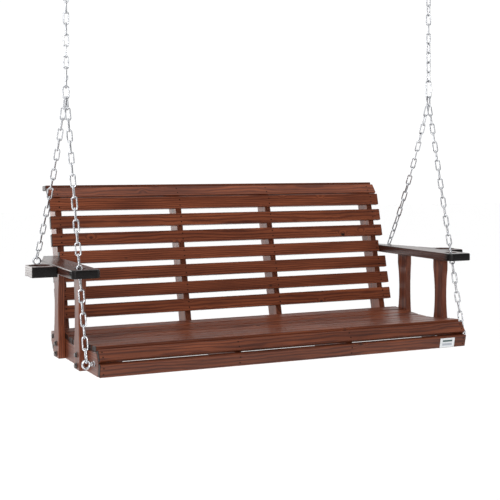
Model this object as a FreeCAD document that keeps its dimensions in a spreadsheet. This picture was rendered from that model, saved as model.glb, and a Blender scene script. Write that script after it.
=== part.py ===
import FreeCAD, Part
import Sketcher
import math
import os

from FreeCAD import Vector, Placement, Rotation

# Porch swing seat: a slatted two-arm bench with cup-holder arms, hung by chains from two ceiling hooks.
#
# Sizes are in millimetres. The bench is laid out from the bottom front edge of its apron (Y = 0, Z = 0) on the
# swing's mid-plane (X = 0), and every piece is then placed so that the origin of the part is the point midway
# between the two hooks, in the plane of the ceiling. +Z is up and the sitter faces -Y.

doc = FreeCAD.newDocument("porch_swing_seat")
sheet = doc.addObject("Spreadsheet::Sheet", "sizes")

SIZES = {
    # seat and back boards
    "slat_len": 1320, "slat_wide": 43, "slat_thick": 18,
    "apron_high": 40.5, "lip_wide": 37.2,
    "seat_pitch": 49.5, "seat_start": 34,
    "back_len": 1317, "back_short_len": 1272, "back_pitch": 59.6, "back_first": 136, "back_lean": 0.25,
    "back_face": 438.9, "crown_wide": 40.2,
    # frames
    "board_thick": 24, "board_inner": 636, "rib_thick": 22.5, "rib_inner": 168.7,
    "upright_thick": 22.5, "upright_deep": 66.7, "upright_foot": 8,
    "block_long": 49, "block_deep": 40, "block_high": 63,
    # arms
    "post_thick": 22, "post_high": 290, "arm_thick": 26, "cup_thick": 34, "cup_hole": 34,
    "chain_hole": 19.5, "arm_front": 53, "arm_rear": 595, "arm_out": 727, "arm_corner": 12, "arm_in_corner": 20,
    "cup_front": 212, "cup_out": 808, "cup_rear": 303, "cup_x": 768, "cup_y": 270,
    "label_long": 59, "label_high": 33, "label_thick": 0.6, "label_start": 553,
    # hardware
    "wire": 2.5, "link_bend": 7.5, "link_pitch": 35, "link_slack": 0.3,
    "quick_wire": 3, "quick_bend": 9.5, "quick_half": 33,
    "master_bend": 9.5, "rear_sag": 17,
    "eye_wire": 3.8, "eye_bend": 11.8, "eye_tail": 14, "hook_wire": 4, "hook_bend": 14.8, "hook_neck": 4.8,
    "bolt_rad": 4, "screw_rad": 2.2, "screw_long": 62, "cup_screw_long": 120,
    "nail_rad": 1.5, "nail_long": 28, "washer_rad": 9, "washer_thick": 1.6,
    "hex_across": 13, "head_high": 5.3, "nut_high": 6.5, "thread_past": 12,
    # hang
    "hook_apart": 1375, "hang_front": 259.5, "ceiling": 1300, "lag_long": 50,
}
for row, (alias, value) in enumerate(SIZES.items(), start=1):
    sheet.set("A%d" % row, alias)
    sheet.set("B%d" % row, str(value))
    sheet.setAlias("B%d" % row, alias)
doc.recompute()


def size(alias):
    return float(sheet.get(alias))


nodes = {}
half_apart = size("hook_apart") / 2
to_part = Vector(0, -size("hang_front"), -size("ceiling"))
slat_thick = size("slat_thick")
slat_wide = size("slat_wide")


def bind(thing, **sizes):
    """Ties the named properties of an object to cells of the sheet."""
    for prop, cell in sizes.items():
        thing.setExpression(prop, cell if "sizes." in cell else "sizes." + cell)


def at(thing, x, y, z, turn=None):
    """Puts an object at a place given in bench coordinates."""
    thing.Placement = Placement(Vector(x, y, z) + to_part, turn or Rotation())
    return thing


def keep(label, thing):
    thing.Label = label
    nodes[label] = thing
    return thing


def plate(label, plane, edges, thick, x=0.0, y=0.0, z=0.0, holes=()):
    """A board sawn to an outline: a closed run of lines and arcs on one origin plane, padded by a sheet cell."""
    body = doc.addObject("PartDesign::Body", label + "_body")
    sketch = body.newObject("Sketcher::SketchObject", label + "_outline")
    origin = [f for f in body.Origin.OriginFeatures if f.Role == plane][0]
    sketch.AttachmentSupport = [(origin, "")]
    sketch.MapMode = "FlatFace"
    for edge in edges:
        points = [Vector(a, b, 0) for a, b in edge]
        if len(points) == 3:
            sketch.addGeometry(Part.Arc(*points), False)
        else:
            sketch.addGeometry(Part.LineSegment(*points), False)
    for a, b, cell in holes:
        ring = sketch.addGeometry(Part.Circle(Vector(a, b, 0), Vector(0, 0, 1), size(cell)), False)
        rule = sketch.addConstraint(Sketcher.Constraint("Radius", ring, size(cell)))
        sketch.setExpression("Constraints[%d]" % rule, "sizes." + cell)
    pad = body.newObject("PartDesign::Pad", label + "_pad")
    pad.Profile = sketch
    bind(pad, Length=thick)
    at(body, x, y, z)
    return body


def closed(points):
    """Straight edges round a list of corners."""
    return [(points[i], points[(i + 1) % len(points)]) for i in range(len(points))]


# ---- where the boards lie ----------------------------------------------------------------------------------
# Each board is a (front edge Y, Z of its upper face, slope in degrees) seen from the side.

def seat_line(y):
    """Height of the seat's upper face: a rolled front, a shallow dip for the sitter, a rise to the back."""
    knots = [(34, 89.6), (84, 87.2), (133, 81.2), (182, 76.8), (232, 75.0), (281, 76.0), (330, 79.0),
             (380, 83.2), (430, 86.6), (473, 80.6)]
    for (y0, z0), (y1, z1) in zip(knots, knots[1:]):
        if y <= y1:
            return z0 + (z1 - z0) * (y - y0) / (y1 - y0)
    return knots[-1][1]


seat_count = 9
seat_boards = []
for i in range(seat_count):
    front = size("seat_start") + i * size("seat_pitch")
    rise = seat_line(front + slat_wide) - seat_line(front)
    seat_boards.append((front, seat_line(front), math.atan2(rise, slat_wide)))

lip_slope = math.atan2(30, 22)
apron_slope = math.atan2(39.6, -8.5)
back_slope = math.atan2(1, size("back_lean"))
crown_slope = math.atan2(31.5, 24.9)
cap_slope = math.atan2(-3.5, 45)


def corner(front, top, slope, run, deep):
    """A point `run` along a board's width from its front edge and `deep` below its face."""
    return (front + run * math.cos(slope) + deep * math.sin(slope),
            top + run * math.sin(slope) - deep * math.cos(slope))


def slat(label, front, top, slope, wide="slat_wide", long="slat_len"):
    """One board of the seat or back: its outer face starts at (front, top) and rises at the slope."""
    box = doc.addObject("Part::Box", label + "_board")
    bind(box, Length=long, Width=wide, Height="slat_thick")
    y, z = corner(front, top, slope, 0, slat_thick)
    return at(box, -size(long) / 2, y, z, Rotation(Vector(1, 0, 0), math.degrees(slope)))


# ---- fasteners, each kind made once ------------------------------------------------------------------------

up = Vector(0, 0, 1)


def nail_shape():
    """A nail driven flush, its flat head a millimetre wider all round than its shank."""
    rad, long, head_thick = size("nail_rad"), size("nail_long"), 1.2
    shank = Part.makeCylinder(rad, long, Vector(0, 0, -long), up)
    head = Part.makeCylinder(rad + 1.0, head_thick, Vector(0, 0, -head_thick), up)
    return shank.fuse(head).removeSplitter()


def screw_shape(length):
    """A countersunk wood screw whose head is flush at z = 0."""
    rad = size("screw_rad")
    head = Part.makeCone(rad, rad * 2, rad, Vector(0, 0, -rad), up)
    shank = Part.makeCylinder(rad, length - rad * 3, Vector(0, 0, -length + rad * 2), up)
    tip = Part.makeCone(0.4, rad, rad * 2, Vector(0, 0, -length), up)
    return tip.fuse([shank, head]).removeSplitter()


def hexagon(across, high, z0=0.0):
    """A six-sided bar stood on z0."""
    points = []
    for i in range(7):
        turn = math.radians(60 * i + 30)
        reach = across / math.sqrt(3)
        points.append(Vector(reach * math.cos(turn), reach * math.sin(turn), z0))
    return Part.Face(Part.makePolygon(points)).extrude(Vector(0, 0, high))


def bolt_shape(grip):
    """A hex bolt under a washer: its bearing face is at z = 0 and it points down through the grip."""
    washer = Part.makeCylinder(size("washer_rad"), size("washer_thick"))
    head = hexagon(size("hex_across"), size("head_high"), size("washer_thick"))
    long = grip + size("thread_past")
    shank = Part.makeCylinder(size("bolt_rad"), long, Vector(0, 0, -long), up)
    return shank.fuse([washer, head]).removeSplitter()


def nut_shape(grip, rad=None):
    """The bolt's nut and washer on the far side of the grip, bored for the thread."""
    seat = -grip - size("washer_thick")
    washer = Part.makeCylinder(size("washer_rad"), size("washer_thick"), Vector(0, 0, seat), up)
    nut = hexagon(size("hex_across"), size("nut_high"), seat - size("nut_high"))
    bore = Part.makeCylinder(rad or size("bolt_rad"), 20, Vector(0, 0, -grip - 15), up)
    return washer.fuse(nut).removeSplitter().cut(bore)


def group(label, shapes):
    """Like fasteners share one node: each stays a solid of its own."""
    feature = doc.addObject("Part::Feature", label + "_set")
    feature.Shape = Part.makeCompound(shapes)
    feature.Placement = Placement(to_part, Rotation())
    return keep(label, feature)


def placed(shape, x, y, z, turn=None):
    copy = shape.copy()
    copy.Placement = Placement(Vector(x, y, z), turn or Rotation())
    return copy


def bored(label, blank, tools):
    """The board with its fasteners' holes."""
    if not tools:
        return keep(label, blank)
    tool = tools[0]
    if len(tools) > 1:
        tool = doc.addObject("Part::Compound", label + "_drill")
        tool.Links = tools
    cut = doc.addObject("Part::Cut", label + "_cut")
    cut.Base = blank
    cut.Tool = tool
    return keep(label, cut)


# ---- fastener groups ---------------------------------------------------------------------------------------
board_mid = size("board_inner") + size("board_thick") / 2
rib_mid = size("rib_inner") + size("upright_thick") + size("rib_thick") / 2
upright_mid = size("board_inner") - size("upright_thick") / 2
inner_mid = size("rib_inner") + size("upright_thick") / 2
seat_lines_x = [-board_mid, -rib_mid, rib_mid, board_mid]
back_lines_x = [-upright_mid, -inner_mid, inner_mid, upright_mid]
nail = nail_shape()


def nails_in(front, top, slope, wide, lines_x):
    """Two nails through a board at each frame member."""
    turn = Rotation(Vector(1, 0, 0), math.degrees(slope))
    shapes = []
    for x in lines_x:
        for run in (wide * 0.27, wide * 0.73):
            y, z = corner(front, top, slope, run, 0)
            shapes.append(placed(nail, x, y, z, turn))
    return shapes


lip = (-3.8, 53.0, lip_slope)
seat_nails = []
for front, top, slope in seat_boards:
    seat_nails += nails_in(front, top, slope, slat_wide, seat_lines_x)
seat_nails += nails_in(*lip, size("lip_wide"), seat_lines_x)
seat_nails += nails_in(0, 0, apron_slope, size("apron_high"), seat_lines_x)
seat_nail_set = group("seat_nails", seat_nails)

back_boards = []
for k in range(7):
    mid = size("back_first") + k * size("back_pitch")
    low = mid - slat_wide / 2 * math.sin(back_slope)
    back_boards.append((size("back_face") + size("back_lean") * low, low, back_slope))
crown = (577.5, 519.5, crown_slope)
cap = (618.2, 558.0, cap_slope)
back_nails = []
for front, top, slope in back_boards:
    back_nails += nails_in(front, top, slope, slat_wide, back_lines_x)
back_nails += nails_in(*crown, size("crown_wide"), back_lines_x)
back_nails += nails_in(*cap, slat_wide, back_lines_x)
back_nail_set = group("back_nails", back_nails)

to_side = {-1: Rotation(Vector(0, 1, 0), -90), 1: Rotation(Vector(0, 1, 0), 90)}
post_face = size("board_inner") + size("board_thick") + size("post_thick")
board_face = size("board_inner") + size("board_thick")
rib_face = size("rib_inner") + size("upright_thick") + size("rib_thick")
post_grip = size("post_thick") + size("board_thick")
end_grip = size("board_thick") + size("upright_thick")
rib_grip = size("rib_thick") + size("upright_thick")
post_spots = [(161, 13), (161, 46), (393.5, 13), (393.5, 46)]
upright_spots = [(489, 20), (505, 53)]


bolts, nuts = [], []
joints = ((post_spots, post_face, post_grip), (upright_spots, board_face, end_grip),
          (upright_spots, rib_face, rib_grip))
for spots, face, grip in joints:
    for side in (-1, 1):
        for y, z in spots:
            bolts.append(placed(bolt_shape(grip), side * face, y, z, to_side[side]))
            nuts.append(placed(nut_shape(grip), side * face, y, z, to_side[side]))
bolt_set = group("frame_bolts", bolts)
group("frame_bolt_nuts", nuts)

# ---- eye bolts ---------------------------------------------------------------------------------------------
front_eye = (685.0, 49.0, 35.0)
rear_eye = (705.0, 557.0, 303.0)
eye_tail = size("eye_tail")


def eye_shape(grip):
    """A closed eye in the plane of its shank, whose shank runs down from the eye's centre."""
    bend = size("eye_bend")
    wire = size("eye_wire")
    ring = Part.makeTorus(bend, wire, Vector(0, 0, 0), Vector(0, 1, 0))
    shank = Part.makeCylinder(wire, grip, Vector(0, 0, -bend - grip), up)
    return ring.fuse(shank).removeSplitter()


front_eyes, rear_eyes, eye_nut_shapes = [], [], []
front_in = size("board_inner") - size("block_long")
rear_in = size("board_inner") - size("upright_thick")
for side in (-1, 1):
    x, y, z = front_eye
    reach = x - size("eye_bend") - front_in + eye_tail
    front_eyes.append(placed(eye_shape(reach), side * x, y, z, to_side[side]))
    eye_nut_shapes.append(placed(nut_shape(board_face - front_in, size("eye_wire")),
                                 side * board_face, y, z, to_side[side]))
    lock = nut_shape(0, size("eye_wire"))
    eye_nut_shapes.append(placed(lock, side * board_face, y, z, to_side[-side]))
    x, y, z = rear_eye
    reach = x - size("eye_bend") - rear_in + eye_tail
    rear_eyes.append(placed(eye_shape(reach), side * x, y, z, to_side[side]))
    eye_nut_shapes.append(placed(nut_shape(0, size("eye_wire")), side * rear_in, y, z, to_side[side]))
front_eye_set = group("front_eye_bolts", front_eyes)
rear_eye_set = group("rear_eye_bolts", rear_eyes)
group("eye_bolt_nuts", eye_nut_shapes)

# ---- arm and cup-holder screws -----------------------------------------------------------------------------
arm_low = size("post_high")
arm_top = arm_low + size("arm_thick")
post_mid = board_face + size("post_thick") / 2
arm_screws = []
post_screws_y = (142, 180, 375, 412)
cup_screw_z = arm_top - size("cup_thick") / 2
cup_screws = ((size("cup_out"), 223, size("cup_screw_long")), (746.5, 343, size("screw_long")))
for side in (-1, 1):
    for y in post_screws_y:
        arm_screws.append(placed(screw_shape(size("screw_long")), side * post_mid, y, arm_top))
    for reach, y, length in cup_screws:
        arm_screws.append(placed(screw_shape(length), side * reach, y, cup_screw_z, to_side[side]))
arm_screw_set = group("arm_screws", arm_screws)

# ---- seat boards -------------------------------------------------------------------------------------------
bored("seat_front_lip", slat("seat_front_lip", *lip, wide="lip_wide"), [seat_nail_set])
for i, (front, top, slope) in enumerate(seat_boards, start=1):
    bored("seat_slat_%d" % i, slat("seat_slat_%d" % i, front, top, slope), [seat_nail_set])
bored("apron", slat("apron", 0, 0, apron_slope, wide="apron_high"), [seat_nail_set])

# ---- back boards -------------------------------------------------------------------------------------------
for k, (front, low, slope) in enumerate(back_boards):
    name = "back_slat_%d" % (k + 1)
    long = "back_short_len" if k == 3 else "back_len"
    bored(name, slat(name, front, low, slope, long=long), [back_nail_set])
bored("back_crown_slat", slat("back_crown_slat", *crown, wide="crown_wide", long="back_len"), [back_nail_set])
bored("back_cap_slat", slat("back_cap_slat", *cap, long="back_len"), [back_nail_set])

# ---- side boards and ribs ----------------------------------------------------------------------------------
# Their top edge is cut in flats, one under each seat board.
seat_bed = [corner(*lip, 0, slat_thick), corner(*lip, size("lip_wide"), slat_thick)]
for board in seat_boards:
    seat_bed += [corner(*board, 0, slat_thick), corner(*board, slat_wide, slat_thick)]
apron_back = [corner(0, 0, apron_slope, 0, slat_thick), corner(0, 0, apron_slope, 38, slat_thick)]
foot_front = apron_back[0][0] + apron_back[0][1] * 0.215
tail = [(536.5, 66.0), (536.5, 35.0), (511.0, 0.0)]     # behind the uprights, its lower corner cut off
block_front, block_low = 36.0, 3.0
frame_outline = closed([(foot_front, 0.0), apron_back[1]] + seat_bed + tail)
for name, side in (("left", -1), ("right", 1)):
    x = size("board_inner") if side > 0 else -board_face
    drills = [seat_nail_set, bolt_set, front_eye_set]
    board = plate(name + "_side_board", "YZ_Plane", frame_outline, "board_thick", x)
    bored(name + "_side_board", board, drills)
    x = rib_face - size("rib_thick") if side > 0 else -rib_face
    rib = plate(name + "_seat_rib", "YZ_Plane", frame_outline, "rib_thick", x)
    bored(name + "_seat_rib", rib, [seat_nail_set, bolt_set])
    block = doc.addObject("Part::Box", name + "_corner_block_blank")
    bind(block, Length="block_long", Width="block_deep", Height="block_high")
    at(block, front_in if side > 0 else -size("board_inner"), block_front, block_low)
    bored(name + "_corner_block", block, [front_eye_set])

# ---- back uprights -----------------------------------------------------------------------------------------
upright_front = size("back_face") + slat_thick * math.sqrt(1 + size("back_lean") ** 2)
lean = size("back_lean")
deep = size("upright_deep")
crown_bed = [corner(*crown, 0, slat_thick), corner(*crown, size("crown_wide"), slat_thick)]
cap_bed = [corner(*cap, 0, slat_thick), corner(*cap, 42, slat_thick)]
foot = size("upright_foot")
upright_outline = closed([
    (upright_front + lean * foot, foot), (upright_front + lean * crown_bed[0][1], crown_bed[0][1]), crown_bed[0],
    crown_bed[1], cap_bed[0], cap_bed[1], (upright_front + deep + lean * foot, foot),
])
upright_names = (("left_end", -size("board_inner"), [bolt_set, rear_eye_set]),
                 ("left_inner", -size("rib_inner") - size("upright_thick"), [bolt_set]),
                 ("right_inner", size("rib_inner"), [bolt_set]),
                 ("right_end", rear_in, [bolt_set, rear_eye_set]))
for name, x, drills in upright_names:
    blank = plate(name + "_upright", "YZ_Plane", upright_outline, "upright_thick", x)
    bored(name + "_upright", blank, [back_nail_set] + drills)


# ---- arm posts ---------------------------------------------------------------------------------------------
def post_outline(front, rear, waist_front, waist_rear, waist_z):
    """An hourglass post: square ends joined by one shallow arc down each edge."""
    low, high, top = 70.0, 255.0, size("post_high")
    return [((front, 0), (rear, 0)), ((rear, 0), (rear, low)), ((rear, low), (waist_rear, waist_z), (rear, high)),
            ((rear, high), (rear, top)), ((rear, top), (front, top)), ((front, top), (front, high)),
            ((front, high), (waist_front, waist_z), (front, low)), ((front, low), (front, 0))]


posts = {"front": (130, 191.5, 138, 182.5, 160), "rear": (363, 424, 368, 415, 156)}
for name, side in (("left", -1), ("right", 1)):
    for which, shape in posts.items():
        label = "%s_%s_post" % (name, which)
        x = board_face if side > 0 else -post_face
        blank = plate(label, "YZ_Plane", post_outline(*shape), "post_thick", x)
        bored(label, blank, [bolt_set, arm_screw_set])

# ---- arms and cup holders ----------------------------------------------------------------------------------
arm_in, arm_out = size("board_inner"), size("arm_out")
arm_rear_out, arm_flare_y = 672, 410      # where the narrow back end flares out to the full width
chain_hole_x, chain_hole_y = 684, 115
bulge = 1 - math.sqrt(0.5)                # how far a rounded corner's middle is from the square corner, in radii


def arm_outline(side):
    """A paddle: narrow at the back, flared outwards to the cup holder, with both front corners rounded."""
    front, rear = size("arm_front"), size("arm_rear")
    far, near = size("arm_corner"), size("arm_in_corner")
    edges = [((arm_in, rear), (arm_rear_out, rear)), ((arm_rear_out, rear), (arm_out, arm_flare_y)),
             ((arm_out, arm_flare_y), (arm_out, front + far)),
             ((arm_out, front + far), (arm_out - far * bulge, front + far * bulge), (arm_out - far, front)),
             ((arm_out - far, front), (arm_in + near, front)),
             ((arm_in + near, front), (arm_in + near * bulge, front + near * bulge), (arm_in, front + near)),
             ((arm_in, front + near), (arm_in, rear))]
    return [tuple((side * a, b) for a, b in edge) for edge in edges]


def cup_outline(side):
    """A square front round the cup, drawn in behind it to meet the arm's flare."""
    out = size("cup_out")
    corners = [(arm_out, size("cup_front")), (out, size("cup_front")), (out, size("cup_rear")),
               (arm_out + 24, 328), (arm_out, 409)]
    return closed([(side * a, b) for a, b in corners])


for name, side in (("left", -1), ("right", 1)):
    blank = plate(name + "_arm", "XY_Plane", arm_outline(side), "arm_thick", z=arm_low,
                  holes=[(side * chain_hole_x, chain_hole_y, "chain_hole")])
    bored(name + "_arm", blank, [arm_screw_set, rear_eye_set])
    blank = plate(name + "_cup_holder", "XY_Plane", cup_outline(side), "cup_thick", z=arm_top - size("cup_thick"),
                  holes=[(side * size("cup_x"), size("cup_y"), "cup_hole")])
    bored(name + "_cup_holder", blank, [arm_screw_set])

# ---- blank label on the apron ------------------------------------------------------------------------------
label = doc.addObject("Part::Box", "label_blank")
bind(label, Length="label_long", Width="label_high", Height="label_thick")
y, z = corner(0, 0, apron_slope, 2, 0)
at(label, size("label_start"), y, z, Rotation(Vector(1, 0, 0), math.degrees(apron_slope)))
keep("blank_label", label)


# ---- chains ------------------------------------------------------------------------------------------------
def link_shape(half, bend, wire):
    """One welded link standing in the X-Z plane: two straight sides and two half-round ends."""
    straight = half - bend
    parts = []
    for x in (-bend, bend):
        parts.append(Part.makeCylinder(wire, 2 * straight, Vector(x, 0, -straight), Vector(0, 0, 1)))
    for sign in (1, -1):
        arc = Part.Arc(Vector(-bend, 0, sign * straight), Vector(0, 0, sign * half), Vector(bend, 0, sign * straight))
        circle = Part.Circle(Vector(-bend, 0, sign * straight), Vector(0, 0, 1), wire)
        path = Part.Wire([arc.toShape()])
        parts.append(path.makePipeShell([Part.Wire([circle.toShape()])], True, True))
    return parts[0].fuse(parts[1:]).removeSplitter()


def frame_turn(direction, roll):
    """The turn that stands a link's length along a direction, rolled about it from the X-Z plane."""
    up = Vector(*direction).normalize()
    side = Vector(1, 0, 0)
    side = (side - up * side.dot(up)).normalize()
    front = up.cross(side)
    base = Rotation(side, front, up, "ZXY")
    return base.multiply(Rotation(Vector(0, 0, 1), roll))


def chain(label, low, high, count, roll, turned=0.0, twist=0.0, calm=0, sag=0.0):
    """`count` links from the lowest wire centre to the highest, alternate ones crosswise. The links between the
    ends stand `turned` degrees round; links above the first `calm` ones each twist a little more; a sloping run
    dips by `sag` at its middle."""
    wire = size("wire")
    low, high = Vector(*low), Vector(*high)
    run = high - low
    slack = size("link_slack")
    along = Vector(run).normalize()
    dip = (Vector(0, 0, -1) + along * along.z).normalize() if sag else Vector()
    low, high = low + along * (wire + slack / 2), high - along * (wire + slack / 2)
    knots = []
    for i in range(count + 1):
        share = i / count
        knots.append(low + (high - low) * share + dip * (4 * sag * share * (1 - share)))
    pitch = max((knots[i + 1] - knots[i]).Length for i in range(count))
    half = pitch / 2 + wire + slack / 2
    link = link_shape(half, size("link_bend"), wire)
    shapes = []
    for i in range(count):
        centre = (knots[i] + knots[i + 1]) / 2
        step = (knots[i + 1] - knots[i]).normalize()
        eased = turned * min(1, i / 2, (count - 1 - i) / 2)
        turn = frame_turn(tuple(step), roll + 90 * (i % 2) + eased + twist * max(0, i - calm))
        shapes.append(placed(link, centre.x, centre.y, centre.z, turn))
    print(label, "links", count, "pitch", round(pitch, 2))
    return group(label, shapes)


wire = size("wire")
slack = size("link_slack")
quick_wire = size("quick_wire")
link_half = size("link_pitch") / 2 + wire + slack / 2
quick_top = 940.0
quick_low = quick_top - 2 * size("quick_half")
last_link = quick_top - wire - quick_wire - slack
upper_count = 9
swing_axis = last_link + upper_count * size("link_pitch") + 2 * wire + slack
top_link_mid = swing_axis - link_half
sway_axis = top_link_mid - link_half + 2 * wire + slack
pitch_axis = quick_low + quick_wire + wire + slack
hang = size("hang_front")
master_half = link_half
eye_lift = size("eye_wire") + wire + slack
leg_apart = 2.7


def leg(label, side, eye, top, reach, offset, count, **hang_of):
    """A chain from the ring of an eye bolt up to the link that gathers both legs of one side."""
    ring = Vector(side * eye[0], eye[1], eye[2] + size("eye_bend"))
    gather = Vector(side * (half_apart + offset), hang, top)
    along = Vector(gather - ring).normalize()
    low = ring - along * eye_lift
    high = gather + along * reach
    return chain(label, tuple(low), tuple(high), count, 90, **hang_of)


master_low = pitch_axis - 2 * master_half
rear_dip = size("rear_sag")
leg("left_front_leg_chain", -1, front_eye, master_low, 6.0, -leg_apart, 23, turned=-25)
leg("left_rear_leg_chain", -1, rear_eye, master_low, 6.0, leg_apart, 17, turned=-25, sag=rear_dip)
leg("right_front_leg_chain", 1, front_eye, quick_low, 7.0, -leg_apart, 25, turned=-25)
leg("right_rear_leg_chain", 1, rear_eye, quick_low, 7.0, leg_apart, 18, twist=90 / 17, sag=rear_dip)
group("left_master_link", [placed(link_shape(master_half, size("master_bend"), wire), -half_apart, hang,
                                  pitch_axis - master_half)])

for name, side in (("left", -1), ("right", 1)):
    x = side * half_apart
    top_link = link_shape(link_half, size("link_bend"), wire)
    group(name + "_top_link", [placed(top_link, x, hang, top_link_mid)])
    hang_of = {"roll": 0, "turned": -25} if side < 0 else {"roll": 90, "turned": 20, "twist": 30, "calm": 4}
    chain(name + "_upper_chain", (x, hang, last_link), (x, hang, sway_axis), upper_count - 1, **hang_of)


def quick_shape():
    """A long oval link with a hex sleeve screwed over the gap in one side."""
    oval = link_shape(size("quick_half"), size("quick_bend"), quick_wire)
    sleeve = hexagon(11, 15, -7.5).cut(Part.makeCylinder(quick_wire, 20, Vector(0, 0, -10), Vector(0, 0, 1)))
    sleeve.Placement = Placement(Vector(size("quick_bend"), 0, 0), Rotation())
    return [oval, sleeve]


for name, side, turn in (("left", -1, 68), ("right", 1, 0)):
    spin = Rotation(Vector(0, 0, 1), turn)
    middle = quick_top - size("quick_half")
    turned = []
    for piece in quick_shape():
        whole = Placement(Vector(side * half_apart, hang, middle), spin)
        copy = piece.copy()
        copy.Placement = whole.multiply(piece.Placement)
        turned.append(copy)
    group(name + "_quick_link", turned)


# ---- ceiling hooks -----------------------------------------------------------------------------------------
def hook_shape():
    """A screw hook: a ring left open on one side, a stout neck, a flange, and a lag shank above the ceiling."""
    bend = size("hook_bend")
    thick = size("hook_wire")
    ring = Part.makeTorus(bend, thick, Vector(0, 0, 0), Vector(1, 0, 0), -180, 180, 305)
    top = size("ceiling") - (swing_axis - thick - wire - slack + bend)
    neck = Part.makeCylinder(size("hook_neck"), top - bend, Vector(0, 0, bend), Vector(0, 0, 1))
    shank = Part.makeCylinder(thick, size("lag_long"), Vector(0, 0, top), Vector(0, 0, 1))
    flange = Part.makeCone(8.0, 11.0, 3.0, Vector(0, 0, top - 3.0), Vector(0, 0, 1))
    return ring.fuse([neck, shank, flange]).removeSplitter()


ring_mid = swing_axis - size("hook_wire") - wire - slack + size("hook_bend")
for name, side in (("left", -1), ("right", 1)):
    group(name + "_ceiling_hook", [placed(hook_shape(), side * half_apart, hang, ring_mid)])

doc.recompute()
print("pivots: swing", swing_axis, "sway", sway_axis, "level", quick_top, "pitch", pitch_axis, "hook", ring_mid)

for thing in doc.Objects:
    if "Invalid" in thing.State or "Error" in thing.State:
        raise RuntimeError("%s failed: %s" % (thing.Label, thing.State))
os.makedirs("parts", exist_ok=True)
for label, thing in sorted(nodes.items()):
    shape = thing.Shape
    if shape.isNull() or not shape.isValid():
        raise RuntimeError(label + " has no valid shape")
    shape.exportStep("parts/" + label + ".step")
print(len(nodes), "nodes")
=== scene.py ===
import math
import random

import bmesh
import bpy
import numpy as np
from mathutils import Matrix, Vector


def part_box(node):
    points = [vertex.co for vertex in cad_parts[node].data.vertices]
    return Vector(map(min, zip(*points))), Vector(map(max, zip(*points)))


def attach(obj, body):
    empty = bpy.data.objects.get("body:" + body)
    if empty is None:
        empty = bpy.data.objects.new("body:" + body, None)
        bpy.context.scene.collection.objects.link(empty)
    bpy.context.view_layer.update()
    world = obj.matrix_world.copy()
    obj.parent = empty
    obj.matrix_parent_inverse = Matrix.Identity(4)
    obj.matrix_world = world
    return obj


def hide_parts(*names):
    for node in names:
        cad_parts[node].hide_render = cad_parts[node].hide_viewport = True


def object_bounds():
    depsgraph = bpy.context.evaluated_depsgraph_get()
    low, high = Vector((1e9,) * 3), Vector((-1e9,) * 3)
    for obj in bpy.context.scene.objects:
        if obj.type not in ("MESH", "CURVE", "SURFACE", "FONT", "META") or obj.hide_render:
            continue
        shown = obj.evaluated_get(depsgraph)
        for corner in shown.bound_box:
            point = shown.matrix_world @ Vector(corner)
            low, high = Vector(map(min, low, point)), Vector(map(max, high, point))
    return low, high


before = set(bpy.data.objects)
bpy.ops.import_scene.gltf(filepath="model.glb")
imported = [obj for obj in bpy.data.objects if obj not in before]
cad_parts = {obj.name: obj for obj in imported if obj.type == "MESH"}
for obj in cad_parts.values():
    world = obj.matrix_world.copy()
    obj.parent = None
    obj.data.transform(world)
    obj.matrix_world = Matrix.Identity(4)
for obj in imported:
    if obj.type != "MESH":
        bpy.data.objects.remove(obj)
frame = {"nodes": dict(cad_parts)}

cadBounds = [list(corner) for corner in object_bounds()]
nodes = frame["nodes"]
print("frame loaded:", len(nodes), "parts")

view = {
    "place": (-1.6488, -3.3733, -0.6554),   # eye height is level with the back's lower half
    "turn": -25.45,                          # degrees round Z, looking level
    "lens": 78.83, "sensor": 36,
    "shiftY": -0.179,
    "farthest": 60,
}


def setCamera():
    turn = (math.radians(90), 0, math.radians(view["turn"]))
    bpy.ops.object.camera_add(location=view["place"], rotation=turn)
    camera = bpy.context.active_object
    camera.data.lens = view["lens"]
    camera.data.sensor_width = view["sensor"]
    camera.data.shift_y = view["shiftY"]
    camera.data.clip_end = view["farthest"]
    bpy.context.scene.camera = camera
    bpy.context.scene.view_settings.view_transform = "Standard"


studio = {
    "floorDrop": 0.95,               # the floor lies this far under the seat
    "floorSize": 60, "floorColour": (0.9, 0.9, 0.9), "floorRough": 0.9,
    "backdrop": 1.05, "room": 0.12,  # brightness behind the swing and in front of it
    "backdropWay": (0.35, 0.93, 0.12),
    "aim": (0, 0, -1.0),             # all the lamps point at the back of the seat
    "lamps": {                       # place, size and power
        "keyLeft": ((-4.2, -2.6, 1.0), (2.2, 2.2), 62),
        "fillFront": ((-1.9, -4.9, -0.2), (2.4, 1.6), 95),
        "sideSheen": ((-2.3, 4.8, -0.5), (2.4, 2.2), 48),
    },
    "sky": 1.5, "skySpread": 70, "skyTurn": (0.25, -0.3, 0),   # soft light from overhead
    "skyPlace": (0, 0, 4),
}


def plainPaint(name, colour, rough):
    mat = bpy.data.materials.new(name)
    mat.use_nodes = True
    shader = mat.node_tree.nodes["Principled BSDF"]
    shader.inputs["Base Color"].default_value = (*colour, 1)
    shader.inputs["Roughness"].default_value = rough
    return mat


def areaLight(name, place, size, power):
    bpy.ops.object.light_add(type="AREA", location=place)
    light = bpy.context.active_object
    light.name = name
    light.data.shape = "RECTANGLE"
    light.data.size, light.data.size_y = size
    light.data.energy = power
    towards = Vector(studio["aim"]) - Vector(place)
    light.rotation_euler = towards.to_track_quat("-Z", "Y").to_euler()


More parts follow.
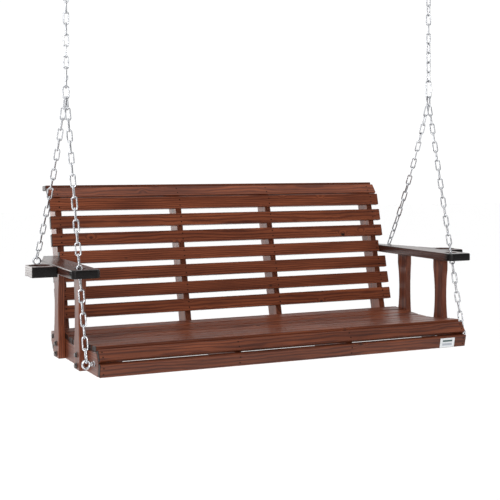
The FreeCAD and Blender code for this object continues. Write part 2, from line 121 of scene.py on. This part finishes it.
def setStage():
    low = cadBounds[0][2] - studio["floorDrop"]
    bpy.ops.mesh.primitive_plane_add(size=studio["floorSize"], location=(0, 0, low))
    floor = bpy.context.active_object
    floor.name = "floor"
    floor.data.materials.append(plainPaint("palePaper", studio["floorColour"], studio["floorRough"]))
    setWorld()
    for name, (place, size, power) in studio["lamps"].items():
        areaLight(name, place, size, power)
    bpy.ops.object.light_add(type="SUN", location=studio["skyPlace"], rotation=studio["skyTurn"])
    sky = bpy.context.active_object
    sky.name = "softSky"
    sky.data.energy = studio["sky"]
    sky.data.angle = math.radians(studio["skySpread"])


def setWorld():
    # a white backdrop that fades to a dimmer room on the viewer's side
    world = bpy.data.worlds.new("studio")
    bpy.context.scene.world = world
    world.use_nodes = True
    tree = world.node_tree
    nodes, links = tree.nodes, tree.links
    nodes.clear()
    way = nodes.new("ShaderNodeTexCoord")
    way.label = "direction"
    toBack = nodes.new("ShaderNodeVectorMath")
    toBack.label = "how far towards the backdrop"
    toBack.operation = "DOT_PRODUCT"
    toBack.inputs[1].default_value = studio["backdropWay"]
    fade = nodes.new("ShaderNodeMapRange")
    fade.label = "room to backdrop"
    fade.interpolation_type = "SMOOTHSTEP"
    fade.inputs["From Min"].default_value = -0.55
    fade.inputs["From Max"].default_value = 0.45
    fade.inputs["To Min"].default_value = studio["room"]
    fade.inputs["To Max"].default_value = studio["backdrop"]
    sky = nodes.new("ShaderNodeBackground")
    sky.label = "studio"
    sky.inputs["Color"].default_value = (1, 1, 1, 1)
    output = nodes.new("ShaderNodeOutputWorld")
    output.label = "surroundings"
    links.new(way.outputs["Generated"], toBack.inputs[0])
    links.new(toBack.outputs["Value"], fade.inputs["Value"])
    links.new(fade.outputs["Result"], sky.inputs["Strength"])
    links.new(sky.outputs["Background"], output.inputs["Surface"])
    for column, node in enumerate((way, toBack, fade, sky, output)):
        node.location = (column * 210, 0)


setCamera()
setStage()
print("camera and studio set")

stainedWood = {
    "early": (0.176, 0.051, 0.022), "late": (0.094, 0.025, 0.012), "dark": (0.010, 0.004, 0.003),
    "endGrain": (0.012, 0.005, 0.004),
    "ringScale": 58, "rough": 0.34, "coat": 0.08, "specular": 0.22, "endShine": 0.08,
}
armWood = {
    "early": (0.062, 0.019, 0.011), "late": (0.030, 0.009, 0.006), "dark": (0.006, 0.003, 0.003),
    "endGrain": (0.003, 0.002, 0.002),
    "ringScale": 44, "rough": 0.24, "coat": 0.22, "specular": 0.20, "endShine": 0.10,
}
grain = {   # each spacing is for along, across and through a board
    "knotSpacing": (13.0, 19.0, 10.0), "knotShare": 0.20, "knotRim": 0.16, "knotCore": 0.06,
    "knotSwell": 0.009, "swellReach": 0.42,
    "ringStretch": (0.22, 1.0, 1.0), "ringWander": 8.0,
    "fibreSpacing": (7.0, 420.0, 420.0), "patchSpacing": (3.2, 22.0, 22.0),
    "darkestBoard": 0.78, "lightestBoard": 1.22, "relief": 0.0005,
}


def woodMaterial(name, wood):
    # stained softwood that follows grainPlace: x runs along the board, y across it and z through it
    mat = bpy.data.materials.new(name)
    mat.use_nodes = True
    tree = mat.node_tree
    nodes, links = tree.nodes, tree.links
    nodes.clear()

    place = nodes.new("ShaderNodeAttribute")
    place.label = "board's own grain place"
    place.attribute_name = "grainPlace"
    # the board's tone holds its random stain tone together with its set's painted light
    tone = nodes.new("ShaderNodeAttribute")
    tone.label = "board's own tone"
    tone.attribute_name = "boardToneAndPaintedLight"

    # a few knots, each a dark eye with a soft rim
    knotFrame = nodes.new("NodeFrame")
    knotFrame.label = "knots"
    knotMap = nodes.new("ShaderNodeMapping")
    knotMap.label = "knot spacing"
    knotMap.inputs["Scale"].default_value = grain["knotSpacing"]
    knots = nodes.new("ShaderNodeTexVoronoi")
    knots.label = "knot cells"
    knots.inputs["Scale"].default_value = 1.0
    knotEye = nodes.new("ShaderNodeMapRange")
    knotEye.label = "knot eye"
    knotEye.interpolation_type = "SMOOTHSTEP"
    knotEye.inputs["From Min"].default_value = grain["knotRim"]
    knotEye.inputs["From Max"].default_value = grain["knotCore"]
    knotPick = nodes.new("ShaderNodeSeparateColor")
    knotPick.label = "each cell's lot"
    knotSome = nodes.new("ShaderNodeMath")
    knotSome.label = "only some cells have a knot"
    knotSome.operation = "GREATER_THAN"
    knotSome.inputs[1].default_value = 1 - grain["knotShare"]
    knotMask = nodes.new("ShaderNodeMath")
    knotMask.label = "knots that show"
    knotMask.operation = "MULTIPLY"
    swell = nodes.new("ShaderNodeMapRange")
    swell.label = "how far the grain swells round it"
    swell.interpolation_type = "SMOOTHERSTEP"
    swell.inputs["From Min"].default_value = grain["swellReach"]
    swell.inputs["From Max"].default_value = 0.0
    swell.inputs["To Max"].default_value = grain["knotSwell"]
    swellSome = nodes.new("ShaderNodeMath")
    swellSome.label = "swell at knots that show"
    swellSome.operation = "MULTIPLY"
    aside = nodes.new("ShaderNodeCombineXYZ")
    aside.label = "swell across and through the board"
    bent = nodes.new("ShaderNodeVectorMath")
    bent.label = "grain bent round the knots"
    bent.operation = "ADD"
    links.new(place.outputs["Vector"], knotMap.inputs["Vector"])
    links.new(knotMap.outputs["Vector"], knots.inputs["Vector"])
    links.new(knots.outputs["Distance"], knotEye.inputs["Value"])
    links.new(knots.outputs["Color"], knotPick.inputs["Color"])
    links.new(knotPick.outputs["Red"], knotSome.inputs[0])
    links.new(knotEye.outputs["Result"], knotMask.inputs[0])
    links.new(knotSome.outputs["Value"], knotMask.inputs[1])
    links.new(knots.outputs["Distance"], swell.inputs["Value"])
    links.new(swell.outputs["Result"], swellSome.inputs[0])
    links.new(knotSome.outputs["Value"], swellSome.inputs[1])
    links.new(swellSome.outputs["Value"], aside.inputs["Y"])
    links.new(swellSome.outputs["Value"], aside.inputs["Z"])
    links.new(place.outputs["Vector"], bent.inputs[0])
    links.new(aside.outputs["Vector"], bent.inputs[1])

    # growth rings round the pith, which lies outside most boards
    ringFrame = nodes.new("NodeFrame")
    ringFrame.label = "growth rings"
    ringMap = nodes.new("ShaderNodeMapping")
    ringMap.label = "stretch rings along the board"
    ringMap.inputs["Scale"].default_value = grain["ringStretch"]
    rings = nodes.new("ShaderNodeTexWave")
    rings.label = "growth rings"
    rings.wave_type = "RINGS"
    rings.rings_direction = "X"
    rings.wave_profile = "SIN"
    rings.inputs["Scale"].default_value = wood["ringScale"]
    rings.inputs["Distortion"].default_value = grain["ringWander"]
    rings.inputs["Detail"].default_value = 3.0
    rings.inputs["Detail Scale"].default_value = 0.32
    rings.inputs["Detail Roughness"].default_value = 0.55
    ringRamp = nodes.new("ShaderNodeValToRGB")
    ringRamp.label = "early wood to late wood"
    ringRamp.color_ramp.elements[0].position = 0.30
    ringRamp.color_ramp.elements[0].color = (*wood["early"], 1)
    ringRamp.color_ramp.elements[1].position = 0.95
    ringRamp.color_ramp.elements[1].color = (*wood["late"], 1)
    links.new(bent.outputs["Vector"], ringMap.inputs["Vector"])
    links.new(ringMap.outputs["Vector"], rings.inputs["Vector"])
    links.new(rings.outputs["Fac"], ringRamp.inputs["Fac"])

    # long fibres and pores
    fibreFrame = nodes.new("NodeFrame")
    fibreFrame.label = "fibres and pores"
    fibreMap = nodes.new("ShaderNodeMapping")
    fibreMap.label = "draw fibres out"
    fibreMap.inputs["Scale"].default_value = grain["fibreSpacing"]
    fibres = nodes.new("ShaderNodeTexNoise")
    fibres.label = "fibres"
    fibres.inputs["Scale"].default_value = 1.0
    fibres.inputs["Detail"].default_value = 4.0
    fibres.inputs["Roughness"].default_value = 0.62
    fibreRamp = nodes.new("ShaderNodeValToRGB")
    fibreRamp.label = "fibre contrast"
    fibreRamp.color_ramp.elements[0].position = 0.32
    fibreRamp.color_ramp.elements[0].color = (0.52, 0.46, 0.44, 1)
    fibreRamp.color_ramp.elements[1].position = 0.66
    fibreRamp.color_ramp.elements[1].color = (1.18, 1.15, 1.12, 1)
    fibreMix = nodes.new("ShaderNodeMix")
    fibreMix.label = "stain settles in the fibres"
    fibreMix.data_type = "RGBA"
    fibreMix.blend_type = "MULTIPLY"
    fibreMix.inputs["Factor"].default_value = 0.85
    links.new(place.outputs["Vector"], fibreMap.inputs["Vector"])
    links.new(fibreMap.outputs["Vector"], fibres.inputs["Vector"])
    links.new(fibres.outputs["Fac"], fibreRamp.inputs["Fac"])
    links.new(ringRamp.outputs["Color"], fibreMix.inputs["A"])
    links.new(fibreRamp.outputs["Color"], fibreMix.inputs["B"])

    # uneven uptake of the stain in long soft patches
    patchFrame = nodes.new("NodeFrame")
    patchFrame.label = "stain patches"
    patchMap = nodes.new("ShaderNodeMapping")
    patchMap.label = "patch stretch"
    patchMap.inputs["Scale"].default_value = grain["patchSpacing"]
    patches = nodes.new("ShaderNodeTexNoise")
    patches.label = "stain patches"
    patches.inputs["Scale"].default_value = 1.0
    patches.inputs["Detail"].default_value = 3.0
    patchRamp = nodes.new("ShaderNodeValToRGB")
    patchRamp.label = "patch tone"
    patchRamp.color_ramp.elements[0].position = 0.30
    patchRamp.color_ramp.elements[0].color = (0.60, 0.54, 0.54, 1)
    patchRamp.color_ramp.elements[1].position = 0.72
    patchRamp.color_ramp.elements[1].color = (1.22, 1.20, 1.16, 1)
    patchMix = nodes.new("ShaderNodeMix")
    patchMix.label = "lay patches over the grain"
    patchMix.data_type = "RGBA"
    patchMix.blend_type = "MULTIPLY"
    patchMix.inputs["Factor"].default_value = 0.9
    links.new(place.outputs["Vector"], patchMap.inputs["Vector"])
    links.new(patchMap.outputs["Vector"], patches.inputs["Vector"])
    links.new(patches.outputs["Fac"], patchRamp.inputs["Fac"])
    links.new(fibreMix.outputs["Result"], patchMix.inputs["A"])
    links.new(patchRamp.outputs["Color"], patchMix.inputs["B"])

    # the knots' dark eyes lie over everything
    knotMix = nodes.new("ShaderNodeMix")
    knotMix.label = "darken the knots"
    knotMix.data_type = "RGBA"
    knotMix.inputs["B"].default_value = (*wood["dark"], 1)
    links.new(knotMask.outputs["Value"], knotMix.inputs["Factor"])
    links.new(patchMix.outputs["Result"], knotMix.inputs["A"])

    # each board takes the stain a little lighter or darker at random; each set's range also paints
    # light, with lighter back slats and posts as painted sheen and darker front pieces as painted
    # shade
    boardFrame = nodes.new("NodeFrame")
    boardFrame.label = "board to board"
    boardBright = nodes.new("ShaderNodeHueSaturation")
    boardBright.label = "board tone"
    toneRange = nodes.new("ShaderNodeMapRange")
    toneRange.label = "tone to brightness"
    toneRange.inputs["To Min"].default_value = grain["darkestBoard"]
    toneRange.inputs["To Max"].default_value = grain["lightestBoard"]
    links.new(tone.outputs["Fac"], toneRange.inputs["Value"])
    links.new(toneRange.outputs["Result"], boardBright.inputs["Value"])
    links.new(knotMix.outputs["Result"], boardBright.inputs["Color"])

    # sawn ends drink the stain and go almost black
    endFrame = nodes.new("NodeFrame")
    endFrame.label = "end grain"
    span = nodes.new("ShaderNodeAttribute")
    span.label = "place along the board, its half length and how deep its ends are dark"
    span.attribute_name = "boardSpan"
    spanParts = nodes.new("ShaderNodeSeparateXYZ")
    spanParts.label = "split place and half length"
    fromMiddle = nodes.new("ShaderNodeMath")
    fromMiddle.label = "distance from the middle"
    fromMiddle.operation = "ABSOLUTE"
    pastEnd = nodes.new("ShaderNodeMath")
    pastEnd.label = "distance short of the end"
    pastEnd.operation = "SUBTRACT"
    endShare = nodes.new("ShaderNodeMath")
    endShare.label = "in lengths of the dark end"
    endShare.operation = "DIVIDE"
    endMask = nodes.new("ShaderNodeMapRange")
    endMask.label = "on the sawn end"
    endMask.interpolation_type = "SMOOTHSTEP"
    endMask.inputs["From Min"].default_value = -1.0
    endMask.inputs["From Max"].default_value = -0.35
    endMix = nodes.new("ShaderNodeMix")
    endMix.label = "darken the ends"
    endMix.data_type = "RGBA"
    endMix.inputs["B"].default_value = (*wood["endGrain"], 1)
    links.new(span.outputs["Vector"], spanParts.inputs["Vector"])
    links.new(spanParts.outputs["X"], fromMiddle.inputs[0])
    links.new(fromMiddle.outputs["Value"], pastEnd.inputs[0])
    links.new(spanParts.outputs["Y"], pastEnd.inputs[1])
    links.new(pastEnd.outputs["Value"], endShare.inputs[0])
    links.new(spanParts.outputs["Z"], endShare.inputs[1])
    links.new(endShare.outputs["Value"], endMask.inputs["Value"])
    links.new(endMask.outputs["Result"], endMix.inputs["Factor"])
    links.new(boardBright.outputs["Color"], endMix.inputs["A"])

    # satin finish, duller where the fibres are open, with a shallow grain relief
    finishFrame = nodes.new("NodeFrame")
    finishFrame.label = "finish and relief"
    roughRange = nodes.new("ShaderNodeMapRange")
    roughRange.label = "open fibres are duller"
    roughRange.inputs["To Min"].default_value = wood["rough"] + 0.16
    roughRange.inputs["To Max"].default_value = wood["rough"] - 0.06
    relief = nodes.new("ShaderNodeMath")
    relief.label = "rings and fibres stand proud"
    relief.operation = "ADD"
    bump = nodes.new("ShaderNodeBump")
    bump.label = "grain relief"
    bump.inputs["Strength"].default_value = 0.35
    bump.inputs["Distance"].default_value = grain["relief"]
    shader = nodes.new("ShaderNodeBsdfPrincipled")
    shader.label = "stained wood"
    endShine = nodes.new("ShaderNodeMapRange")
    endShine.label = "sawn ends shine less"
    endShine.inputs["To Min"].default_value = wood["specular"]
    endShine.inputs["To Max"].default_value = wood["endShine"]
    shader.inputs["Coat Weight"].default_value = wood["coat"]
    shader.inputs["Coat Roughness"].default_value = 0.22
    output = nodes.new("ShaderNodeOutputMaterial")
    output.label = "surface"
    links.new(fibres.outputs["Fac"], roughRange.inputs["Value"])
    links.new(roughRange.outputs["Result"], shader.inputs["Roughness"])
    links.new(rings.outputs["Fac"], relief.inputs[0])
    links.new(fibres.outputs["Fac"], relief.inputs[1])
    links.new(relief.outputs["Value"], bump.inputs["Height"])
    links.new(bump.outputs["Normal"], shader.inputs["Normal"])
    links.new(endMask.outputs["Result"], endShine.inputs["Value"])
    links.new(endShine.outputs["Result"], shader.inputs["Specular IOR Level"])
    links.new(endMix.outputs["Result"], shader.inputs["Base Color"])
    links.new(shader.outputs["BSDF"], output.inputs["Surface"])

    groups = ((ringFrame, (ringMap, rings, ringRamp)),
              (fibreFrame, (fibreMap, fibres, fibreRamp, fibreMix)),
              (patchFrame, (patchMap, patches, patchRamp, patchMix)),
              (knotFrame, (knotMap, knots, knotEye, knotPick, knotSome, knotMask, knotMix, swell,
                           swellSome, aside, bent)),
              (boardFrame, (toneRange, boardBright)),
              (endFrame, (span, spanParts, fromMiddle, pastEnd, endShare, endMask, endMix)),
              (finishFrame, (roughRange, relief, bump, endShine, shader, output)))
    for row, (group, members) in enumerate(groups):
        for column, node in enumerate(members):
            node.parent = group
            node.location = (column * 210, -row * 330)
    place.location = (-500, 0)
    tone.location = (-500, -1320)
    return mat


boardEase = {
    "seat": 0.0026, "front": 0.0026, "back": 0.0026,   # how far the edges are rounded
    "frame": 0.002, "post": 0.0028, "arm": 0.004,
    "steps": 3,
    "darkEnd": 0.0022, "darkArmEnd": 0.045,   # how far stain darkens a piece from its sawn ends
    "smallestRim": 0.034,   # rims smaller than this are fastener holes and stay crisp
    "sharpAngle": 32, "smoothUnder": 38,   # degrees
    "mergeWithin": 0.00002, "flatWithin": 0.4, "flatWeight": 90,
}
boardToneAndPaintedLight = {   # the darkest and the lightest board of each set, from 0 to 1; the back slats and posts sit high as painted sheen, and the front lip, apron and cap slat sit low as painted shade
    "seat": (0.30, 0.75), "front": (0.10, 0.30), "back": (0.70, 1.00), "frame": (0.40, 0.80),
    "post": (0.75, 1.00), "arm": (0.20, 0.60),
}


def deselectAll():
    bpy.ops.object.select_all(action="DESELECT")


def woodFrom(nodeName, kind, along, across, seed, darkEnd):
    # a board with eased edges, from a merged copy of the sawn blank
    source = nodes[nodeName]
    piece = bpy.data.objects.new(nodeName + "_board", source.data.copy())
    bpy.context.scene.collection.objects.link(piece)
    piece.data.materials.clear()
    deselectAll()
    piece.select_set(True)
    bpy.context.view_layer.objects.active = piece
    bpy.ops.mesh.customdata_custom_splitnormals_clear()
    bpy.ops.object.mode_set(mode="EDIT")
    bpy.ops.mesh.select_all(action="SELECT")
    bpy.ops.mesh.remove_doubles(threshold=boardEase["mergeWithin"])
    bpy.ops.mesh.dissolve_limited(angle_limit=math.radians(boardEase["flatWithin"]))
    bpy.ops.object.mode_set(mode="OBJECT")
    markEasedEdges(piece)
    bevel = piece.modifiers.new("easedEdges", "BEVEL")
    bevel.width = boardEase[kind]
    bevel.segments = boardEase["steps"]
    bevel.limit_method = "WEIGHT"
    bevel.use_clamp_overlap = False
    bevel.miter_outer = "MITER_ARC"
    bpy.ops.object.modifier_apply(modifier=bevel.name)
    bpy.ops.object.shade_smooth_by_angle(angle=math.radians(boardEase["smoothUnder"]))
    weighted = piece.modifiers.new("flatFacesStayFlat", "WEIGHTED_NORMAL")
    weighted.keep_sharp = True
    weighted.weight = boardEase["flatWeight"]
    bpy.ops.object.modifier_apply(modifier=weighted.name)
    setGrain(piece, along, across, seed, darkEnd, boardToneAndPaintedLight[kind])
    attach(piece, "seat")
    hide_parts(nodeName)
    return piece


def markEasedEdges(piece):
    # sharp edges are rounded run by run, and a run as small as a fastener hole is left out
    mesh = bmesh.new()
    mesh.from_mesh(piece.data)
    layers = mesh.edges.layers.float
    weights = layers.get("bevel_weight_edge") or layers.new("bevel_weight_edge")
    limit = math.radians(boardEase["sharpAngle"])
    sharp = {e for e in mesh.edges if len(e.link_faces) == 2 and e.calc_face_angle(0) > limit}
    while sharp:
        front = [sharp.pop()]
        run = list(front)
        while front:
            edge = front.pop()
            for vert in edge.verts:
                for near in vert.link_edges:
                    if near in sharp:
                        sharp.remove(near)
                        front.append(near)
                        run.append(near)
        points = np.array([v.co for e in run for v in e.verts])
        if (points.max(0) - points.min(0)).max() > boardEase["smallestRim"]:
            for edge in run:
                edge[weights] = 1.0
    mesh.to_mesh(piece.data)
    mesh.free()


boardLot = {   # where in the log a board may lie, in metres
    "along": 20, "across": 0.06, "nearPith": 0.03, "farPith": 0.13,
}


def setGrain(piece, along, across, seed, darkEnd, tonesWithPaintedLight):
    # metres along, across and through the board, moved to its own part of the log
    lot = random.Random(seed)
    along = Vector(along).normalized()
    across = Vector(across).normalized()
    through = along.cross(across)
    count = len(piece.data.vertices)
    spots = np.zeros(count * 3)
    piece.data.vertices.foreach_get("co", spots)
    spots = spots.reshape(-1, 3)
    middle = (spots.min(0) + spots.max(0)) / 2
    turned = (spots - middle) @ np.array([along, across, through]).T
    span = piece.data.attributes.new("boardSpan", "FLOAT_VECTOR", "POINT")
    half = np.abs(turned[:, 0]).max()
    spans = np.column_stack([turned[:, 0], np.full(count, half), np.full(count, darkEnd)])
    span.data.foreach_set("vector", spans.ravel())
    turned += [lot.uniform(-boardLot["along"], boardLot["along"]),
               lot.uniform(-boardLot["across"], boardLot["across"]),
               lot.choice((-1, 1)) * lot.uniform(boardLot["nearPith"], boardLot["farPith"])]
    grain = piece.data.attributes.new("grainPlace", "FLOAT_VECTOR", "POINT")
    grain.data.foreach_set("vector", turned.ravel())
    # a random tone within the set's range, which also carries the set's painted sheen and painted
    # shade
    tone = piece.data.attributes.new("boardToneAndPaintedLight", "FLOAT", "POINT")
    tone.data.foreach_set("value", np.full(count, lot.uniform(*tonesWithPaintedLight)))


stained = woodMaterial("stainedWood", stainedWood)
dark = woodMaterial("armWood", armWood)

xAxis, yAxis, zAxis = (1, 0, 0), (0, 1, 0), (0, 0, 1)
backUp = (0, 0.2425, 0.9701)    # up along the leaning back
crownUp = (0, 0.62, 0.785)
lipUp = (0, 0.59, 0.81)
firstSeed = {"boards": 11, "arms": 71}


def addWood():
    sets = [("seat_slat_%d" % i, "seat", xAxis, yAxis) for i in range(1, 10)]
    sets += [("seat_front_lip", "front", xAxis, lipUp), ("apron", "front", xAxis, zAxis)]
    sets += [("back_slat_%d" % i, "back", xAxis, backUp) for i in range(1, 8)]
    sets += [("back_crown_slat", "back", xAxis, crownUp), ("back_cap_slat", "front", xAxis, yAxis)]
    for side in ("left", "right"):
        sets += [(side + "_side_board", "frame", yAxis, zAxis)]
        sets += [(side + "_seat_rib", "frame", yAxis, zAxis)]
        sets += [(side + "_corner_block", "frame", xAxis, zAxis)]
        sets += [(side + "_end_upright", "frame", backUp, yAxis)]
        sets += [(side + "_inner_upright", "frame", backUp, yAxis)]
        sets += [(side + "_front_post", "post", zAxis, yAxis)]
        sets += [(side + "_rear_post", "post", zAxis, yAxis)]
    for seed, (name, kind, along, across) in enumerate(sets, start=firstSeed["boards"]):
        piece = woodFrom(name, kind, along, across, seed, boardEase["darkEnd"])
        piece.data.materials.append(stained)
    arms = ("left_arm", "right_arm", "left_cup_holder", "right_cup_holder")
    for seed, name in enumerate(arms, start=firstSeed["arms"]):
        deep = boardEase["darkArmEnd"] if name.endswith("arm") else boardEase["darkEnd"]
        piece = woodFrom(name, "arm", yAxis, xAxis, seed, deep)
        piece.data.materials.append(dark)
    print("boards eased and grained")


addWood()

zincWire = {
    "bright": (0.60, 0.61, 0.63), "dull": (0.34, 0.35, 0.37), "rough": 0.17, "spotScale": 160,
}
darkSteel = {
    "bright": (0.17, 0.155, 0.15), "dull": (0.05, 0.043, 0.042), "rough": 0.34, "spotScale": 220,
}
nailSteel = {
    "bright": (0.03, 0.018, 0.014), "dull": (0.012, 0.007, 0.006), "rough": 0.5, "spotScale": 300,
}
marksPerSpot = 9   # handling marks are this much finer than the cloudy spots


def metalMaterial(name, metal):
    # plated steel: a bright skin with duller cloudy spots and fine handling marks
    mat = bpy.data.materials.new(name)
    mat.use_nodes = True
    tree = mat.node_tree
    nodes, links = tree.nodes, tree.links
    nodes.clear()
    place = nodes.new("ShaderNodeTexCoord")
    place.label = "place on the piece"
    clouds = nodes.new("ShaderNodeTexNoise")
    clouds.label = "cloudy plating"
    clouds.inputs["Scale"].default_value = metal["spotScale"]
    clouds.inputs["Detail"].default_value = 4.0
    marks = nodes.new("ShaderNodeTexNoise")
    marks.label = "handling marks"
    marks.inputs["Scale"].default_value = metal["spotScale"] * marksPerSpot
    marks.inputs["Detail"].default_value = 2.0
    ramp = nodes.new("ShaderNodeValToRGB")
    ramp.label = "dull to bright"
    ramp.color_ramp.elements[0].position = 0.34
    ramp.color_ramp.elements[0].color = (*metal["dull"], 1)
    ramp.color_ramp.elements[1].position = 0.56
    ramp.color_ramp.elements[1].color = (*metal["bright"], 1)
    rough = nodes.new("ShaderNodeMapRange")
    rough.label = "dull spots are rougher"
    rough.inputs["To Min"].default_value = metal["rough"] + 0.16
    rough.inputs["To Max"].default_value = metal["rough"] - 0.03
    bump = nodes.new("ShaderNodeBump")
    bump.label = "uneven plating"
    bump.inputs["Strength"].default_value = 0.18
    bump.inputs["Distance"].default_value = 0.0003
    shader = nodes.new("ShaderNodeBsdfPrincipled")
    shader.label = "plated steel"
    shader.inputs["Metallic"].default_value = 1.0
    output = nodes.new("ShaderNodeOutputMaterial")
    output.label = "surface"
    links.new(place.outputs["Object"], clouds.inputs["Vector"])
    links.new(place.outputs["Object"], marks.inputs["Vector"])
    links.new(clouds.outputs["Fac"], ramp.inputs["Fac"])
    links.new(clouds.outputs["Fac"], rough.inputs["Value"])
    links.new(marks.outputs["Fac"], bump.inputs["Height"])
    links.new(ramp.outputs["Color"], shader.inputs["Base Color"])
    links.new(rough.outputs["Result"], shader.inputs["Roughness"])
    links.new(bump.outputs["Normal"], shader.inputs["Normal"])
    links.new(shader.outputs["BSDF"], output.inputs["Surface"])
    skin = nodes.new("NodeFrame")
    skin.label = "plating"
    for column, node in enumerate((place, clouds, marks, ramp, rough, bump, shader, output)):
        node.parent = skin
        node.location = (column * 210, -(column % 2) * 260)
    return mat


def dress(nodeName, material):
    mesh = nodes[nodeName].data
    mesh.materials.clear()
    mesh.materials.append(material)


def addMetal():
    zinc = metalMaterial("zincWire", zincWire)
    black = metalMaterial("darkSteel", darkSteel)
    nail = metalMaterial("nailSteel", nailSteel)
    for name in nodes:
        if any(word in name for word in ("chain", "link", "hook", "eye_bolt")):
            dress(name, zinc)
        elif "nails" in name:
            dress(name, nail)
        elif "screws" in name or "frame_bolt" in name:
            dress(name, black)
    print("metal dressed")


addMetal()

blankLabel = {
    "paper": (0.62, 0.64, 0.65), "darkInk": (0.045, 0.075, 0.075), "paleInk": (0.36, 0.38, 0.42),
    "mottle": 0.1, "mottleScale": 420,
    "barWidth": 0.66,   # this and what follows are shares of the label's half width and height
    "darkAt": 0.40, "darkHeight": 0.20, "paleAt": -0.34, "paleHeight": 0.24,
}


def labelMaterial():
    # satin paper with two plain printed bars and no lettering
    low, high = (Vector(corner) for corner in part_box("blank_label"))
    middle, half = (low + high) / 2, (high - low) / 2
    mat = bpy.data.materials.new("printedPaper")
    mat.use_nodes = True
    tree = mat.node_tree
    nodes, links = tree.nodes, tree.links
    nodes.clear()
    place = nodes.new("ShaderNodeTexCoord")
    place.label = "place on the apron"
    spread = nodes.new("ShaderNodeMapping")
    spread.label = "label's middle at zero, its edges at one"
    spread.vector_type = "TEXTURE"
    spread.inputs["Location"].default_value = middle
    spread.inputs["Scale"].default_value = half
    parts = nodes.new("ShaderNodeSeparateXYZ")
    parts.label = "across and up"
    links.new(place.outputs["Object"], spread.inputs["Vector"])
    links.new(spread.outputs["Vector"], parts.inputs["Vector"])
    across = nodes.new("ShaderNodeMath")
    across.label = "within the printed width"
    across.operation = "COMPARE"
    across.inputs[1].default_value = 0
    across.inputs[2].default_value = blankLabel["barWidth"]
    upper = nodes.new("ShaderNodeMath")
    upper.label = "height of the dark bar"
    upper.operation = "COMPARE"
    upper.inputs[1].default_value = blankLabel["darkAt"]
    upper.inputs[2].default_value = blankLabel["darkHeight"]
    lower = nodes.new("ShaderNodeMath")
    lower.label = "height of the pale bar"
    lower.operation = "COMPARE"
    lower.inputs[1].default_value = blankLabel["paleAt"]
    lower.inputs[2].default_value = blankLabel["paleHeight"]
    links.new(parts.outputs["X"], across.inputs[0])
    links.new(parts.outputs["Z"], upper.inputs[0])
    links.new(parts.outputs["Z"], lower.inputs[0])
    mottle = nodes.new("ShaderNodeTexNoise")
    mottle.label = "paper mottle"
    mottle.inputs["Scale"].default_value = blankLabel["mottleScale"]
    paper = blankLabel["paper"]
    paperRamp = nodes.new("ShaderNodeValToRGB")
    paperRamp.label = "paper tone"
    paperRamp.color_ramp.elements[0].color = (*[v * (1 - blankLabel["mottle"]) for v in paper], 1)
    paperRamp.color_ramp.elements[1].color = (*[v * (1 + blankLabel["mottle"]) for v in paper], 1)
    inkDark = nodes.new("ShaderNodeMath")
    inkDark.label = "dark bar's ink"
    inkDark.operation = "MULTIPLY"
    inkPale = nodes.new("ShaderNodeMath")
    inkPale.label = "pale bar's ink"
    inkPale.operation = "MULTIPLY"
    darkMix = nodes.new("ShaderNodeMix")
    darkMix.label = "print the dark bar"
    darkMix.data_type = "RGBA"
    darkMix.inputs["B"].default_value = (*blankLabel["darkInk"], 1)
    paleMix = nodes.new("ShaderNodeMix")
    paleMix.label = "print the pale bar"
    paleMix.data_type = "RGBA"
    paleMix.inputs["B"].default_value = (*blankLabel["paleInk"], 1)
    shader = nodes.new("ShaderNodeBsdfPrincipled")
    shader.label = "satin paper"
    shader.inputs["Roughness"].default_value = 0.5
    output = nodes.new("ShaderNodeOutputMaterial")
    output.label = "surface"
    links.new(place.outputs["Object"], mottle.inputs["Vector"])
    links.new(mottle.outputs["Fac"], paperRamp.inputs["Fac"])
    links.new(across.outputs["Value"], inkDark.inputs[0])
    links.new(upper.outputs["Value"], inkDark.inputs[1])
    links.new(across.outputs["Value"], inkPale.inputs[0])
    links.new(lower.outputs["Value"], inkPale.inputs[1])
    links.new(paperRamp.outputs["Color"], darkMix.inputs["A"])
    links.new(inkDark.outputs["Value"], darkMix.inputs["Factor"])
    links.new(darkMix.outputs["Result"], paleMix.inputs["A"])
    links.new(inkPale.outputs["Value"], paleMix.inputs["Factor"])
    links.new(paleMix.outputs["Result"], shader.inputs["Base Color"])
    links.new(shader.outputs["BSDF"], output.inputs["Surface"])
    printing = nodes.new("NodeFrame")
    printing.label = "paper and print"
    for column, node in enumerate([node for node in nodes if node.type != "FRAME"]):
        node.parent = printing
        node.location = (column * 200, -(column % 3) * 230)
    return mat


dress("blank_label", labelMaterial())
print("label printed")
